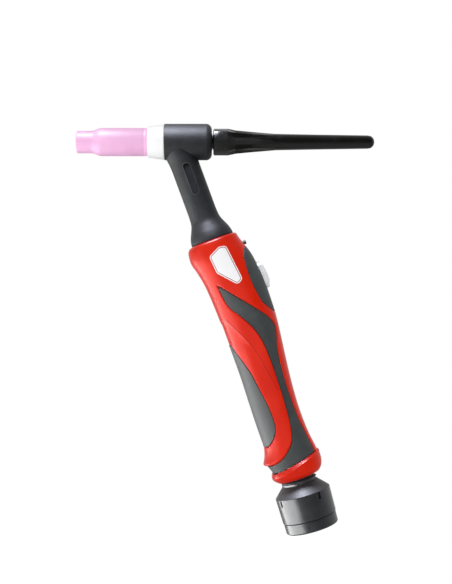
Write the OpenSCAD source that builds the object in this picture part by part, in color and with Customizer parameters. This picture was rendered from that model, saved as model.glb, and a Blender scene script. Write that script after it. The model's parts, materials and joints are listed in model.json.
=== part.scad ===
// TIG welding torch with an ergonomic handle, a fluted long back cap and a ball-jointed cable outlet.
// Frame: the origin is where the hand closes round the handle. +Z is up, the gas nozzle points
// along -X, the back cap along +X, and Y = 0 is the plane that splits the handle into its halves.
// Millimetres. "u" is the distance down the handle axis from the middle of the head,
// "v" is the distance from that axis towards the trigger, and "s" runs along the head towards the cap.

/* [Torch] */
// Lean of the neck and the handle from upright, in degrees
lean = 20.2; // [15:0.1:25]
// Distance down the handle axis from the head to the middle of the grip
grip_u = 150; // [130:1:170]

/* [Head] */
// Diameter of the moulded head
head_d = 24.1; // [23.5:0.1:26]
// Length of the head in front of the neck axis
head_front = 7.9; // [7:0.1:9]
// Length of the head behind the neck axis
head_back = 23.5; // [22:0.1:25]
// Rounding of the head's rear edge
head_edge = 3.8; // [2:0.1:4]
// Diameter of the neck
neck_d = 19; // [18.5:0.1:20]
// Distance down the axis where the neck starts to flare
neck_end = 51; // [48:0.5:53]
// Diameter of the flare where it meets the handle
flare_d = 29; // [28:0.1:30]
// Distance down the axis of the handle's top face
handle_top = 69.5; // [69:0.1:70]
// Length of the oblong recess on the side of the neck
recess_l = 21.5; // [16:0.5:22]
// Width of that recess
recess_w = 4.6; // [4:0.1:5]
// Depth of that recess
recess_depth = 0.5; // [0.3:0.1:0.8]

/* [Gas nozzle and collet] */
// Length of the ceramic gas nozzle
nozzle_l = 47; // [46:0.1:48]
// Outer diameter at the mouth of the nozzle
nozzle_mouth_d = 14.8; // [14:0.1:16]
// Outer diameter at the rear of the nozzle
nozzle_rear_d = 18.6; // [18:0.1:19]
// Bore of the nozzle's mouth
nozzle_bore = 11.1; // [10.5:0.1:11.5]
// Length of the straight bore at the mouth
nozzle_bore_l = 16; // [14:0.5:17]
// Length of the white seal between the nozzle and the head
gasket_l = 11.2; // [11:0.1:11.5]
// Diameter of the tungsten electrode
electrode_d = 2.4; // [1.6:0.8:3.2]
// Length of the tungsten electrode
electrode_l = 150; // [140:1:152]
// How far the parked electrode's tip lies inside the nozzle's mouth
electrode_park = 17.6; // [17:0.1:22]

/* [Back cap] */
// Gap between the head and the cap's collar
cap_gap = 1; // [0.8:0.1:1.5]
// Length of the back cap behind the gap
cap_l = 106.9; // [100:0.1:112]
// Diameter across the corners of the eight-sided collar
cap_collar_d = 17.8; // [17:0.1:18.4]
// Length of the straight collar
cap_collar_l = 9.7; // [9:0.1:11]
// Diameter of the tube where it leaves the collar
cap_tube_d = 12; // [11:0.1:12.5]
// Diameter of the tube at its domed tip
cap_tip_d = 8.6; // [8:0.1:9]
// How far the ribs run behind the front of the collar
cap_rib_l = 43; // [38:0.5:48]

/* [Handle] */
// Wall of the handle shells under the soft inlays
shell_wall = 3; // [2.8:0.1:3.2]
// How far the hard red shell stands above the side inlays
shell_step = 0.7; // [0.5:0.1:0.9]
// Thickness of the soft inlays and pads
inlay_t = 1.6; // [1.4:0.1:1.8]
// Width of the groove round each inlay and pad
groove = 0.25; // [0.2:0.05:0.3]
// Squareness of the handle's cross-section: 2 is an ellipse
squareness = 2.3; // [2:0.1:2.6]

/* [Trigger] */
// Centre of the button down the handle axis
button_u = 102.3; // [102:0.1:103]
// Length of the button
button_l = 18.5; // [18:0.1:19]
// Width of the button
button_w = 8.6; // [8:0.1:9]
// Travel of the button
button_travel = 1.5; // [1:0.1:1.6]

/* [Ball joint] */
// Centre of the ball down the handle axis
ball_u = 224; // [223.5:0.1:224.5]
// Diameter of the ball
ball_d = 23; // [22.8:0.1:23.2]
// Lean of the cable outlet from the handle axis as it rests, in degrees
ball_rest = 4.2; // [0:0.1:9]
// Diameter of the collar's shoulder
collar_d = 37; // [36:0.1:38]
// Distance of the collar's top edge below the ball's centre
collar_top = 16.4; // [16.4:0.1:17]
// Distance of the collar's shoulder below the ball's centre
collar_shoulder = 23.2; // [22.8:0.1:24.5]
// Distance of the collar's foot below the ball's centre
collar_foot = 41; // [40.5:0.1:42]
// Diameter of the cable's passage in the clamp ring
outlet_d = 26.4; // [25:0.1:27]
// Length of the clamp ring
outlet_l = 6.4; // [6:0.1:7]

/* [Hidden] */
$fn = 64;

red = [0.84, 0.1, 0.06];
charcoal = [0.2, 0.21, 0.21];
black = [0.06, 0.065, 0.07];
brass = [0.78, 0.6, 0.25];
copper = [0.72, 0.4, 0.25];
steel = [0.75, 0.76, 0.78];

// Fits: a running fit's radial gap, and the gap between parts that only pass each other
run_gap = 0.05;
pass_gap = 0.3;

// Stations along the head, measured from the neck axis
gasket_rear = -head_front;
nozzle_rear = gasket_rear - gasket_l;
nozzle_front = nozzle_rear - nozzle_l;
cap_front = head_back + cap_gap;
cap_tip = cap_front + cap_l;

// ---- Frames ----

module at_head() translate([-grip_u * sin(lean), 0, grip_u * cos(lean)]) children();

// Local +Z runs along the head towards the back cap.
module on_head() at_head() rotate([0, 90, 0]) children();

// Local +Z runs up the handle and local +X points to the trigger, so that u is -Z and v is +X.
module on_handle() at_head() rotate([0, -lean, 0]) children();

// Local +Z runs from the cable outlet up to the ball's centre.
module on_swivel() on_handle() translate([0, 0, -ball_u]) rotate([0, ball_rest, 0]) children();

// A tube or a rod down the handle axis, from one distance to another.
module rod(from, to, r, sides = 64) translate([0, 0, -to]) cylinder(h = to - from, r = r, $fn = sides);

// A side outline, drawn as [v, -u], carried right through the handle.
module across(width = 60) rotate([90, 0, 0]) linear_extrude(height = width, center = true) children();

// Keeps a sculpted piece at its own size, as one faceted shell.
module sculpted() resize([0, 0, 0]) children();

// The half of the handle on one side of its parting plane: -1 is near and +1 is far.
module half(side) translate([-60, side > 0 ? 0 : -60, -260]) cube([120, 60, 260]);

// ---- Smooth curves and lofts ----

// One value on the curve through b and c, with a before them and d after them.
function curve(a, b, c, d, t) =
    0.5 * (2 * b + (c - a) * t + (2 * a - 5 * b + 4 * c - d) * t * t + (3 * b - a - 3 * c + d) * t * t * t);

// An open smooth line through a list of points, with this many steps to each stretch.
function smooth(points, steps) = let (last = len(points) - 1) concat(
    [for (i = [0:last - 1]) for (k = [0:steps - 1])
        curve(points[max(i - 1, 0)], points[i], points[i + 1], points[min(i + 2, last)], k / steps)],
    [points[last]]);

function signed_power(x, p) = sign(x) * pow(abs(x), p);

// A cross-section of the handle. A row holds its distance u, its front and back edges and half its depth.
function section(row, inset, sides) =
    let (middle = (row[1] + row[2]) / 2, a = (row[2] - row[1]) / 2 - inset, b = row[3] - inset)
    [for (k = [0:sides - 1]) let (angle = 360 * k / sides) [
        middle + a * signed_power(cos(angle), 2 / squareness),
        b * signed_power(sin(angle), 2 / squareness),
        -row[0]]];

// A solid through all the rows, drawn in by inset.
module loft(rows, inset = 0, sides = 36) {
    points = [for (row = rows) each section(row, inset, sides)];
    last = len(rows) - 1;
    polyhedron(points, concat(
        [[for (k = [sides - 1:-1:0]) k]],
        [for (i = [0:last - 1]) for (k = [0:sides - 1]) let (next = (k + 1) % sides)
            [i * sides + k, (i + 1) * sides + next, (i + 1) * sides + k]],
        [for (i = [0:last - 1]) for (k = [0:sides - 1]) let (next = (k + 1) % sides)
            [i * sides + k, i * sides + next, (i + 1) * sides + next]],
        [[for (k = [0:sides - 1]) last * sides + k]]));
}

// ---- Handle form ----

// The red shell: distance u, front edge, back edge and half depth.
shell_top_rows = [[handle_top, -15.2, 15.2, 14.9], [70.4, -16.8, 16.2, 15.9]];
shell_rows = smooth([[73, -18.4, 16.9, 16.7], [79.5, -18.9, 19, 17.4], [86.3, -17.2, 21.1, 17.8],
    [94.5, -15.6, 22.3, 18], [103, -14.8, 23.2, 18], [116, -14.2, 23.1, 17.7], [130, -14, 22.5, 17.2],
    [143, -13.9, 21, 16.6], [160, -14, 18.7, 16.2], [176, -14.6, 16.8, 15.9], [192, -15.2, 15.6, 15.8],
    [205, -15.4, 15.6, 16]], 2);
lip_rows = [[209, -15.5, 15.8, 16.1], [213, -16.2, 16.1, 16.4], [217, -17.7, 16.6, 16.7],
    [220.9, -20, 17.1, 17]];
// The level of the side inlays below the shell's last full row, where they wrap round to the front.
band_rows = [[209, -14.8, 15.2, 15.6], [214, -15.6, 15.6, 15.9], [218, -16.9, 16.2, 16.1],
    [221, -17.5, 16.5, 16.2], [222.9, -17.6, 16.7, 16.3], [226, -16.4, 16.4, 16.1], [231, -15.2, 15.9, 15.6]];

function drawn_in(rows, step) = [for (row = rows) [row[0], row[1] + step, row[2] - step, row[3] - step]];
red_rows = concat(shell_top_rows, shell_rows, lip_rows, [for (row = band_rows) if (row[0] > 222) row]);
inlay_rows = concat(drawn_in(shell_top_rows, shell_step), drawn_in(shell_rows, shell_step), band_rows);
inner_rows = concat([for (i = [0:2:len(inlay_rows) - 2]) inlay_rows[i]], [inlay_rows[len(inlay_rows) - 1]]);

// The red end ring: a flange round the foot of the shells.
ring_rows = [[219, -18.2, 19, 17.4], [229, -18.6, 18.7, 17.9], [232.5, -17.6, 17.5, 17], [235, -15.6, 15.7, 15.2],
    [236, -14.2, 14.4, 14]];
ring_foot = 236;
ring_top = [228.9, 222.8];

// The side inlay's outline: down its front edge, round the foot and up its back edge.
inlay_front = [[-7, 99.6], [-6.8, 109.6], [-4.8, 116.2], [-0.4, 122.8], [5, 132.8], [7.8, 142.8], [8.6, 156],
    [8.3, 172.6], [7.6, 185.9], [6.3, 199.2], [3.6, 210.1], [-1.4, 216.2], [-7.4, 220.2], [-14.4, 222.4]];
inlay_back = [[15.5, 223.2], [15, 217], [14.1, 209.2], [13.1, 199.2], [12.9, 185.9], [13.3, 172.6], [14.5, 159.4],
    [16.3, 149.4], [18.4, 142.8], [19.7, 136.1], [17.5, 129.5], [12.6, 122.8], [4.3, 112.9], [-2, 105.4],
    [-7, 99.6]];
pad_edge = [[-13.4, 138.4], [-12, 142.8], [-9.8, 149.4], [-7, 159.4], [-5, 172.6], [-3.4, 185.9],
    [-3.4, 195.9], [-4.6, 201], [-7.8, 205.8], [-12.7, 209.6]];
trigger_edge = [[20.5, 78.8], [19.1, 80.6], [16.1, 85.2], [15.3, 89.6], [14.7, 97.5], [14.7, 104.8],
    [15.6, 112.3], [16.6, 118.1], [18.6, 122.4], [22.4, 127.9], [23.6, 129.6]];
beyond = 30;

function down(points) = [for (p = points) [p[0], -p[1]]];
// How far down the end ring's slanted top edge lies at v.
function ring_edge(v) = ring_top[0] + (ring_top[1] - ring_top[0]) * (v + 18.5) / 37;

module inlay_outline() polygon(down(concat(
    smooth(inlay_front, 2),
    [[-beyond, 224.6], [-beyond, ring_edge(-beyond)]],
    smooth(inlay_back, 2))));
module pad_outline() polygon(down(concat(smooth(pad_edge, 2), [[-beyond, 211], [-beyond, 137]])));
module trigger_outline() polygon(down(concat(smooth(trigger_edge, 2), [[beyond, 130.6], [beyond, 75]])));

// A stadium, long along Y.
module oblong(size) hull() for (end = [-1, 1])
    translate([0, end * (size[0] - size[1]) / 2]) circle(d = size[1], $fn = 20);

// A prism of that stadium in the side of the trigger, between two values of v.
module at_trigger(from, to) translate([from, 0, -button_u]) rotate([90, 0, 90])
    linear_extrude(height = to - from) children();

// ---- Head ----

module torch_body() color(black) difference() {
    union() {
        on_head() rotate_extrude() head_profile();
        on_handle() {
            translate([0, 0, -21]) cylinder(h = 15, r1 = neck_d / 2, r2 = neck_d / 2 + 0.4);
            rod(21, neck_end, neck_d / 2);
            rotate_extrude() flare_profile();
            rod(handle_top, 88.5, spigot_top_r);
        }
    }
    on_head() translate([0, 0, -head_front - 1]) cylinder(h = head_front + 22, r = core_r);
    on_head() translate([0, 0, 20]) cylinder(h = 10, r = shank_r + 0.6);
    on_handle() {
        for (tube = tubes) translate([tube[0], tube[1], 0]) rod(0, 95, tube[2]);
        difference() {
            rod(80, 84, 12);
            rod(79, 85, rib_r);
        }
        translate([0.6, -neck_d / 2 + recess_depth, -26.8]) rotate([90, 0, 0])
            linear_extrude(height = 3) oblong([recess_l, recess_w]);
    }
}

core_r = 8;
shank_r = 5.2;
// The part of the body inside the handle, and the groove in it that the shells' rib holds.
spigot_top_r = 10;
rib_r = 8;
// Copper tubes in the neck: v, y, radius and the distance down to their ends.
tubes = [[-3.2, 0, 3.5, 116], [3.6, 3.4, 2.4, 102], [3.6, -3.4, 2.4, 102]];

module head_profile() {
    edge = [for (a = [90:-15:0]) [head_d / 2 - head_edge + head_edge * sin(a),
        head_back - head_edge + head_edge * cos(a)]];
    polygon(concat([[0, -head_front], [head_d / 2, -head_front]], edge, [[0, head_back]]));
}

// The bulb between the neck and the handle, and the foot of it that stands on the handle's top.
module flare_profile() {
    bulb = smooth([[neck_d / 2, neck_end], [9.9, 55.5], [11.6, 59.6], [13.2, 63.2], [14.2, 66.6],
        [flare_d / 2, handle_top]], 3);
    polygon(down(concat([[0, neck_end]], bulb, [[0, handle_top]])));
}

module head_core() color(brass) on_head() difference() {
    translate([0, 0, -head_front + 0.4]) cylinder(h = head_front + 20.6, r = core_r);
    translate([0, 0, -20]) cylinder(h = 60, r = 3.2);
    translate([0, 0, -20]) cylinder(h = 24, r = 4.8);
    translate([0, 0, 9]) cylinder(h = 30, r = shank_r);
    rotate([0, -90, 0]) rotate([0, -lean, 0]) {
        for (tube = tubes) translate([tube[0], tube[1], 0]) rod(5.6, 40, tube[2]);
        translate([tubes[2][0], tubes[2][1], 0]) rod(2.5, 6, gas_way_r);
    }
}

// The drilled way from the gas tube into the core's bore.
gas_way_r = 1.2;

module neck_tube(i) color(copper) on_handle() translate([tubes[i][0], tubes[i][1], 0]) difference() {
    rod(5.6, tubes[i][3], tubes[i][2]);
    rod(5, tubes[i][3] + 1, tubes[i][2] - 0.8);
}
module power_tube() neck_tube(0);
module water_tube() neck_tube(1);
module gas_tube() neck_tube(2);

// A hexagon nut and a barbed tail round the end of a tube.
module tail(tube, nut_r, length) translate([tube[0], tube[1], 0]) difference() {
    union() {
        rod_hex(tube[3] - 4, tube[3] + 1, nut_r);
        rotate_extrude() polygon(down(concat([[0, tube[3]]],
            [for (k = [0:2]) each [[tube[2] - 0.1, tube[3] + 1 + k * length / 3],
                [tube[2] + 0.5, tube[3] + 1 + (k + 0.85) * length / 3]]],
            [[tube[2] - 0.1, tube[3] + 1 + length], [0, tube[3] + 1 + length]])));
    }
    rod(tube[3] - 5, tube[3], tube[2]);
    rod(tube[3] - 1, tube[3] + length + 5, tube[2] - 1.2);
}
module rod_hex(from, to, r) translate([0, 0, -to]) cylinder(h = to - from, r = r, $fn = 6);
module power_fitting() color(brass) on_handle() tail(tubes[0], 5.6, 10);
module hose_tails() color(brass) on_handle() for (i = [1, 2]) tail(tubes[i], 3.3, 8);

module cup_gasket() color([0.95, 0.95, 0.94]) on_head() difference() {
    translate([0, 0, nozzle_rear]) cylinder(h = gasket_l, r1 = 9.9, r2 = 11.8);
    translate([0, 0, nozzle_rear - 1]) cylinder(h = gasket_l + 2, r = 6.3);
}

module gas_nozzle() color([0.93, 0.66, 0.82]) on_head() rotate_extrude() {
    front = nozzle_front;
    neck_at = front + 9.4;
    full_at = neck_at + 7.2;
    mouth_r = nozzle_mouth_d / 2;
    rear_r = nozzle_rear_d / 2;
    flare = [for (k = [0:8]) [(mouth_r + rear_r) / 2 - (rear_r - mouth_r) / 2 * cos(22.5 * k),
        neck_at + (full_at - neck_at) * k / 8]];
    bore_end = front + nozzle_bore_l;
    polygon(concat([[nozzle_bore / 2, front], [mouth_r - 0.4, front], [mouth_r, front + 0.4]], flare,
        [[rear_r, nozzle_rear - 0.5], [rear_r - 0.5, nozzle_rear], [6.3, nozzle_rear],
        [6.3, bore_end + 2], [nozzle_bore / 2, bore_end]]));
}

collet_nose = nozzle_front + 18;
module collet_body() color(copper) on_head() difference() {
    rotate_extrude() polygon([[0, collet_nose], [3.2, collet_nose], [4, collet_nose + 2],
        [4, collet_nose + 13], [6.3, collet_nose + 15], [6.3, gasket_rear - 0.2], [4.8, gasket_rear + 0.4],
        [4.8, 3.6], [0, 3.6]]);
    translate([0, 0, collet_nose + 3]) cylinder(h = 60, r = collet_r + run_gap);
    translate([0, 0, collet_nose - 1]) cylinder(h = 60, r = electrode_d / 2 + 0.15);
    for (a = [45, 135]) rotate([0, 0, a]) translate([0, 0, collet_nose + 8]) rotate([90, 0, 0])
        cylinder(h = 20, r = 0.9, center = true);
}

collet_r = 2;
collet_end = 11.5;
module collet() color(copper) on_head() difference() {
    translate([0, 0, collet_nose + 3.2]) union() {
        cylinder(h = 1.2, r1 = 1.5, r2 = collet_r);
        translate([0, 0, 1.2]) cylinder(h = collet_end - collet_nose - 4.4, r = collet_r);
    }
    translate([0, 0, collet_nose]) cylinder(h = 80, r = electrode_d / 2 + run_gap);
    translate([-0.3, 0, collet_nose]) cube([0.6, 5, 22]);
}

module tungsten_electrode() color(steel) on_head() translate([0, 0, nozzle_front + electrode_park]) {
    cylinder(h = 3, r1 = 0.2, r2 = electrode_d / 2);
    translate([0, 0, 3]) cylinder(h = electrode_l - 3, r = electrode_d / 2);
}

// ---- Back cap ----

// The ribs' corners and the hollows between them, as a star of sixteen points.
function star(crest, hollow, s) =
    [for (k = [0:15]) let (r = k % 2 == 0 ? crest : hollow) [r * cos(22.5 * k), r * sin(22.5 * k), s]];

module rib_form() {
    collar_end = cap_front + cap_collar_l;
    flat = cos(22.5) * 0.99;
    crest = cap_collar_d / 2;
    tube = cap_tube_d / 2;
    rows = [star(crest - 0.15, (crest - 0.15) * flat, collar_end), star(7.7, tube, collar_end + 5.3),
        star(6.6, tube - 0.25, collar_end + 18), star(tube - 0.6, tube - 0.7, cap_front + cap_rib_l)];
    polyhedron([for (row = rows) each row], concat(
        [[for (k = [0:15]) k]],
        [for (i = [0:2]) for (k = [0:15]) let (n = (k + 1) % 16)
            [i * 16 + k, (i + 1) * 16 + n, i * 16 + n]],
        [for (i = [0:2]) for (k = [0:15]) let (n = (k + 1) % 16)
            [i * 16 + k, (i + 1) * 16 + k, (i + 1) * 16 + n]],
        [[for (k = [15:-1:0]) 48 + k]]));
}

module back_cap() color([0.03, 0.03, 0.03]) on_head() difference() {
    union() {
        translate([0, 0, collet_end]) cylinder(h = cap_front + 1 - collet_end, r = shank_r - run_gap);
        translate([0, 0, cap_front]) cylinder(h = 0.5, r1 = cap_collar_d / 2 - 0.6, r2 = cap_collar_d / 2,
            $fn = 8);
        translate([0, 0, cap_front + 0.5]) cylinder(h = cap_collar_l - 0.5, r = cap_collar_d / 2, $fn = 8);
        rib_form();
        rotate_extrude() cap_tube_profile();
    }
    translate([0, 0, collet_end - 1]) cylinder(h = cap_tip - 5 - collet_end, r = electrode_d / 2 + 0.4);
    translate([0, 0, collet_end - 1]) cylinder(h = 1, r = 20);
    translate([0, 0, head_back - 1.4]) difference() {
        cylinder(h = 2, r = 12);
        cylinder(h = 2, r = o_ring_r);
    }
}

module cap_tube_profile() {
    tip_r = cap_tip_d / 2;
    dome = [for (a = [0:15:90]) [tip_r * cos(a), cap_tip - tip_r + tip_r * sin(a)]];
    polygon(concat([[0, cap_front + 2], [cap_tube_d / 2, cap_front + 2]], dome));
}

o_ring_r = 4.2;
module cap_o_ring() color(black) on_head() translate([0, 0, head_back - 0.4]) rotate_extrude()
    translate([o_ring_r + 0.75, 0]) circle(r = 0.75, $fn = 24);

// ---- Handle ----

module handle_shell(side) color(red) on_handle() sculpted() difference() {
    intersection() {
        half(side);
        difference() {
            loft(red_rows);
            difference() {
                intersection() {
                    loft(inner_rows, shell_wall, 16);
                    rod(handle_top + shell_wall, 214, 60);
                }
                shell_ribs();
            }
            difference() {
                across() {
                    inlay_outline();
                    pad_outline();
                    trigger_outline();
                }
                pocket_floor();
            }
        }
    }
    rod(handle_top - 1, 80, spigot_top_r + 0.1, 24);
    rod(79, 85, rib_r + 0.1, 24);
    rod(84, 95, spigot_top_r + 0.1, 24);
    rod(205, ring_foot, 11, 24);
    rod(ball_u - 6.8, ring_foot, liner_r + 0.35, 36);
    difference() {
        rod(ball_u + 2, ring_foot, 30, 12);
        rod(ball_u, ring_foot, spigot_r, 36);
    }
    translate([carrier_v[0] + 15, 0, -button_u])
        cube([30, carrier_w + pass_gap, carrier_l + pass_gap], center = true);
    translate([10, 0, -catch_u]) rotate([0, 90, 0]) cylinder(h = 20, r = catch_r + 0.1, $fn = 24);
    for (at = screw_at) at_screw(at) {
        translate([0, 0, -8.5]) cylinder(h = 30, r = 1.3, $fn = 12);
        translate([0, 0, at[2]]) cylinder(h = 30, r = 2.7, $fn = 24);
    }
}

// What stands inside the shells: the rib in the body's groove, a rib at each end of the switch
// carrier and a post round each screw.
module shell_ribs() {
    rod(80.2, 83.8, 40, 12);
    for (end = [-1, 1]) translate([carrier_v[0] + 17.8, 0, -button_u - end * (carrier_l / 2 + 1.15)])
        cube([30, 60, 2], center = true);
    for (at = screw_at) at_screw(at) cylinder(h = 60, r = 3, center = true, $fn = 16);
}

// The bottom of every pocket that holds a soft inlay or a pad.
module pocket_floor() loft(inner_rows, inlay_t, 16);

liner_r = 12.9;
spigot_r = 14.8;
// The switch carrier: from this v to that v, its width and its length.
carrier_v = [7.5, 16.5];
carrier_w = 14;
carrier_l = 26;
catch_u = 78;
catch_r = 1.2;
// Shell screws: v, distance down the axis, and how far the head's seat lies beyond the parting plane.
screw_at = [[-13.2, 86, 6], [-8.8, 134, 7.6]];
module at_screw(at) translate([at[0], 0, -at[1]]) rotate([-90, 0, 0]) children();
module handle_shell_near() handle_shell(-1);
module handle_shell_far() handle_shell(1);

module side_inlay(side) color(charcoal) on_handle() sculpted() intersection() {
    half(side);
    across() offset(delta = -groove) inlay_outline();
    difference() {
        loft(inlay_rows);
        pocket_floor();
    }
}
module side_inlay_near() side_inlay(-1);
module side_inlay_far() side_inlay(1);

module front_grip_pad() color(charcoal) on_handle() sculpted() intersection() {
    across() offset(delta = -groove) pad_outline();
    difference() {
        loft(red_rows);
        pocket_floor();
    }
}

module trigger_pad() color(charcoal) on_handle() sculpted() difference() {
    intersection() {
        across() offset(delta = -groove) trigger_outline();
        loft(red_rows);
    }
    pocket_floor();
    at_trigger(10, 40) offset(r = pass_gap) oblong([button_l, button_w]);
}

module trigger_button() color([0.82, 0.83, 0.85]) on_handle() sculpted() {
    crown = smooth([[21, 92.9], [24, 93], [26, 95], [26.7, 99], [26.3, 106], [25.2, 111.2], [21, 111.7]], 4);
    intersection() {
        at_trigger(19, 30) oblong([button_l, button_w]);
        across(button_w) polygon(down(concat([[18.9, 92.9]], crown, [[18.9, 111.7]])));
    }
    at_trigger(button_v, button_v + 0.9) oblong([button_l + 2, button_w + 2]);
}
// Where the flange under the button begins.
button_v = 18.4;
plunger_l = 1.4;

module switch_plunger() color(red) on_handle()
    translate([button_v - plunger_l / 2, 0, -button_u]) cube([plunger_l, 2.6, 3], center = true);

module micro_switch() color([0.12, 0.12, 0.13]) on_handle() difference() {
    translate([12, 0, -button_u]) cube([9.6, 6.4, 20], center = true);
    translate([button_v - plunger_l - button_travel - 0.5 + 5, 0, -button_u]) cube([10, 3.2, 3.6], center = true);
}

module switch_carrier() color([0.15, 0.15, 0.16]) on_handle() difference() {
    translate([(carrier_v[0] + carrier_v[1]) / 2, 0, -button_u])
        cube([carrier_v[1] - carrier_v[0], carrier_w, carrier_l], center = true);
    translate([17.2, 0, -button_u]) cube([20, 6.4, 20], center = true);
}

// The round nub of the catch above the trigger pad, held by its flange inside the shells.
module pad_catch() color(black) on_handle() translate([0, 0, -catch_u]) rotate([0, 90, 0]) rotate_extrude()
    polygon(concat([[0, 13], [2, 13], [2, 13.95], [catch_r, 13.95]],
        [for (a = [0:22.5:90]) [catch_r * cos(a), 19.3 + catch_r * sin(a)]]));

module shell_screws() color(steel) on_handle() for (at = screw_at) at_screw(at) difference() {
    rotate_extrude() polygon([[0, -8], [1.2, -8], [1.2, at[2]], [2.4, at[2]], [2.4, at[2] + 1.4],
        [1.9, at[2] + 1.8], [0, at[2] + 1.8]]);
    translate([0, 0, at[2] + 2.3]) cube([0.7, 3.4, 3], center = true);
    translate([0, 0, at[2] + 2.3]) cube([3.4, 0.7, 3], center = true);
}

module end_ring() color(red) on_handle() sculpted() difference() {
    intersection() {
        loft(ring_rows);
        across() polygon(down([[-beyond, ring_edge(-beyond)], [beyond, ring_edge(beyond)],
            [beyond, ring_foot + 1], [-beyond, ring_foot + 1]]));
    }
    rod(200, ball_u + 8, spigot_r + 0.05, 36);
    loft([for (row = inlay_rows) if (row[0] > 212) row]);
    translate([0, 0, -ring_foot - 0.01]) cylinder(h = 8, r1 = 13.2, r2 = 12, $fn = 36);
}

// ---- Ball joint ----

module swivel_liner() color([0.85, 0.85, 0.82]) on_handle() difference() {
    rod(ball_u - 6.5, ball_u + 7.7, liner_r);
    translate([0, 0, -ball_u]) sphere(r = ball_d / 2 + run_gap);
    rod(ball_u - 10, ball_u + 10, 10.6);
    translate([0, 0, -ball_u - 7.8]) cylinder(h = 3.8, r1 = 11.9, r2 = 10.6);
}

module swivel_ball() color(charcoal) on_swivel() difference() {
    union() {
        sphere(r = ball_d / 2);
        rotate_extrude() polygon([[0, 0], [9.4, -6], [10.2, -13.5], [12, -14.3], [12, -clip_at[0]],
            [clip_r, -clip_at[0]], [clip_r, -clip_at[1]], [12, -clip_at[1]], [12, -collar_top],
            [stem_r, -collar_top], [stem_r, -34], [0, -34]]);
    }
    translate([0, 0, -50]) cylinder(h = 100, r = 7);
}

// The spring clip sits in a groove of the ball's neck; its gap faces the trigger side.
clip_at = [14.4, 16.3];
clip_r = 11.2;
clip_span = [38, 220];
stem_r = 9;
module swivel_clip() color(steel) on_swivel() rotate([0, 0, clip_span[0]]) rotate_extrude(angle = clip_span[1])
    polygon([[clip_r, -clip_at[0]], [12.2, -clip_at[0]], [12.2, -clip_at[1]], [clip_r, -clip_at[1]]]);

module swivel_collar() color(charcoal) on_swivel() difference() {
    rotate_extrude() polygon([[stem_r, -collar_top], [12, -collar_top], [collar_d / 2, -collar_shoulder],
        [collar_d / 2 - 0.4, -collar_foot], [spin_r, -collar_foot], [spin_r, -bead_at - 1.2],
        [spin_r + 0.6, -bead_at - 0.6], [spin_r + 0.6, -bead_at + 0.6], [spin_r, -bead_at + 1.2],
        [spin_r, -26], [stem_r, -22]]);
    for (a = [32:90:302]) rotate([0, 0, a - 90]) translate([collar_d / 2, 0, -collar_shoulder - 2.3])
        cube([2, 1.2, 4], center = true);
}

// The cable's ring turns in the collar, on a spigot with a bead that snaps into the collar's groove.
spin_r = 15.5;
bead_at = 37.6;
module cable_clamp_ring() color(charcoal) on_swivel() rotate_extrude() let (r = spin_r - run_gap)
    polygon([[outlet_d / 2, -collar_foot - outlet_l], [17, -collar_foot - outlet_l],
        [17.6, -collar_foot - outlet_l + 0.6], [17.7, -collar_foot - 0.3], [r, -collar_foot - 0.3],
        [r, -bead_at - 0.7], [r + 0.3, -bead_at - 0.4], [r + 0.3, -bead_at + 0.4], [r, -bead_at + 0.7],
        [r, -collar_foot + 6], [outlet_d / 2, -collar_foot + 6]]);

gas_nozzle();
cup_gasket();
collet_body();
collet();
tungsten_electrode();
head_core();
torch_body();
power_tube();
water_tube();
gas_tube();
power_fitting();
hose_tails();
back_cap();
cap_o_ring();
handle_shell_near();
handle_shell_far();
side_inlay_near();
side_inlay_far();
front_grip_pad();
trigger_pad();
trigger_button();
switch_plunger();
micro_switch();
switch_carrier();
pad_catch();
shell_screws();
end_ring();
swivel_liner();
swivel_ball();
swivel_clip();
swivel_collar();
cable_clamp_ring();
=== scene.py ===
"""A TIG torch with a lofted two-colour handle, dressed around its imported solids."""

import json
import math

import bmesh
import bpy
import numpy as np
from mathutils import Matrix, Vector
from mathutils.bvhtree import BVHTree

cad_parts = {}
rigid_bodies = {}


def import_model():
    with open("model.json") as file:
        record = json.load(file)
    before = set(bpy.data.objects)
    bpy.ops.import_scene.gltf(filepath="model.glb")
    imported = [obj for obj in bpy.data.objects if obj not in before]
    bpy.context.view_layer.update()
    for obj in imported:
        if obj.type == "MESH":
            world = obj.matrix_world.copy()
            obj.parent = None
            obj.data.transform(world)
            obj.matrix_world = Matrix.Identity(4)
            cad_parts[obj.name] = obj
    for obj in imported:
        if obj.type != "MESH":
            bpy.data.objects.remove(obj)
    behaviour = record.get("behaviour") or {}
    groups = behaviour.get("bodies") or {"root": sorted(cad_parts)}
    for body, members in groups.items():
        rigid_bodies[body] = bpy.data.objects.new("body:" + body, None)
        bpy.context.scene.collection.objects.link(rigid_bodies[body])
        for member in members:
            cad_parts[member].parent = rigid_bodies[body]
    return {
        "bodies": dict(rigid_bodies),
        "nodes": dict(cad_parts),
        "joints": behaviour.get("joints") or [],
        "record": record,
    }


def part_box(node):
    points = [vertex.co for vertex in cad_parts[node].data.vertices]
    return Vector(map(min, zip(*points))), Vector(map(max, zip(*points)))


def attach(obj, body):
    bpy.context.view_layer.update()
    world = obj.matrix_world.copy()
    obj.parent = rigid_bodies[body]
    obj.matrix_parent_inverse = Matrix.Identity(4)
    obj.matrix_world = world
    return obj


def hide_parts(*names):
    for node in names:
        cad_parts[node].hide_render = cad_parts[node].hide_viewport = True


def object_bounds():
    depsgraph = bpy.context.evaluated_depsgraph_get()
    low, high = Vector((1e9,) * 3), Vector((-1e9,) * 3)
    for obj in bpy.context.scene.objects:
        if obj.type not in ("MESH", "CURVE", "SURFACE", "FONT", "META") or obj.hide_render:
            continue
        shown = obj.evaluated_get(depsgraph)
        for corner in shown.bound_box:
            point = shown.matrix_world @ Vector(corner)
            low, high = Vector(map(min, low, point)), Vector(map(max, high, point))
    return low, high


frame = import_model()
cad_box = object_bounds()

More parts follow.
